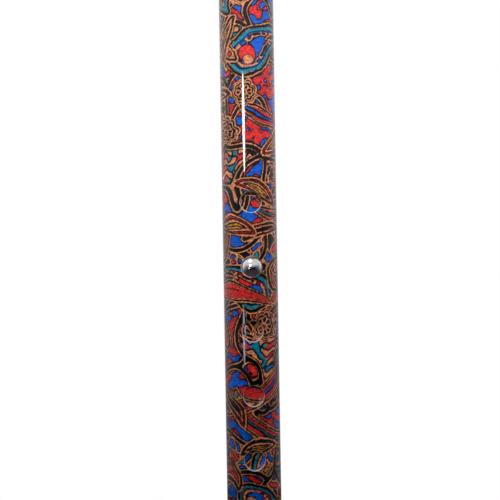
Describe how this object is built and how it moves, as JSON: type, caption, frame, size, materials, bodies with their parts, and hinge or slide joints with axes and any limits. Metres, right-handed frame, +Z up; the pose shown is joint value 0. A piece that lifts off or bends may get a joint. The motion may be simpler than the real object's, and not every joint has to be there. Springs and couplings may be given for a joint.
{
  "type": "adjustable walking cane",
  "caption": "Height-adjustable walking cane: printed aluminium outer tube with a row of holes, sprung snap button, inner tube, lock ring, derby handle and rubber tip.",
  "frame": {"origin": "centre of the rubber tip's ground face, on the shaft's axis", "axes": "+Z up the shaft, +X along the derby handle towards its long end, snap button and holes facing -Y"},
  "size_m": [0.122, 0.0338, 0.8476],
  "materials": {
    "printed_upper": "gloss printed and clear-coated aluminium",
    "printed_lower": "gloss printed and clear-coated aluminium",
    "nylon": "natural nylon",
    "button_chrome": "polished nickel-chrome plate",
    "spring_steel": "plain spring steel",
    "collet_plastic": "moulded black plastic",
    "ring_plastic": "moulded black plastic, fluted",
    "tip_rubber": "matt black rubber",
    "zinc_steel": "zinc-plated steel",
    "plug_plastic": "moulded plastic",
    "insert_brass": "turned brass",
    "collar_chrome": "polished chrome",
    "handle_wood": "dark stained and lacquered beech"
  },
  "bodies": {
    "lower_shaft": {"lower_tube": "printed_lower", "glide_plug": "nylon", "button_spring": "spring_steel", "end_plug": "nylon", "tip_washer": "zinc_steel", "rubber_tip": "tip_rubber"},
    "upper_shaft": {"upper_tube": "printed_upper", "collet": "collet_plastic", "tube_plug": "plug_plastic", "plug_screws": "zinc_steel", "handle_stud": "zinc_steel", "thread_insert": "insert_brass", "collar": "collar_chrome", "handle": "handle_wood"},
    "button": {"snap_button": "button_chrome"},
    "locking_ring": {"lock_ring": "ring_plastic"}
  },
  "joints": [
    {"name": "height_slide", "type": "slide", "parent": "lower_shaft", "child": "upper_shaft", "axis": [0, 0, 1], "range_m": [-0.0254, 0.127]},
    {"name": "button_press", "type": "slide", "parent": "lower_shaft", "child": "button", "axis": [0, 1, 0], "range_m": [0, 0.0056], "stiffness_N_per_m": 1500, "springref_m": -0.004, "deforming": ["button_spring"]},
    {"name": "lock_ring_turn", "type": "hinge", "parent": "upper_shaft", "child": "locking_ring", "pos_m": [0, 0, 0.15], "axis": [0, 0, 1], "range_deg": [0, 180]}
  ]
}
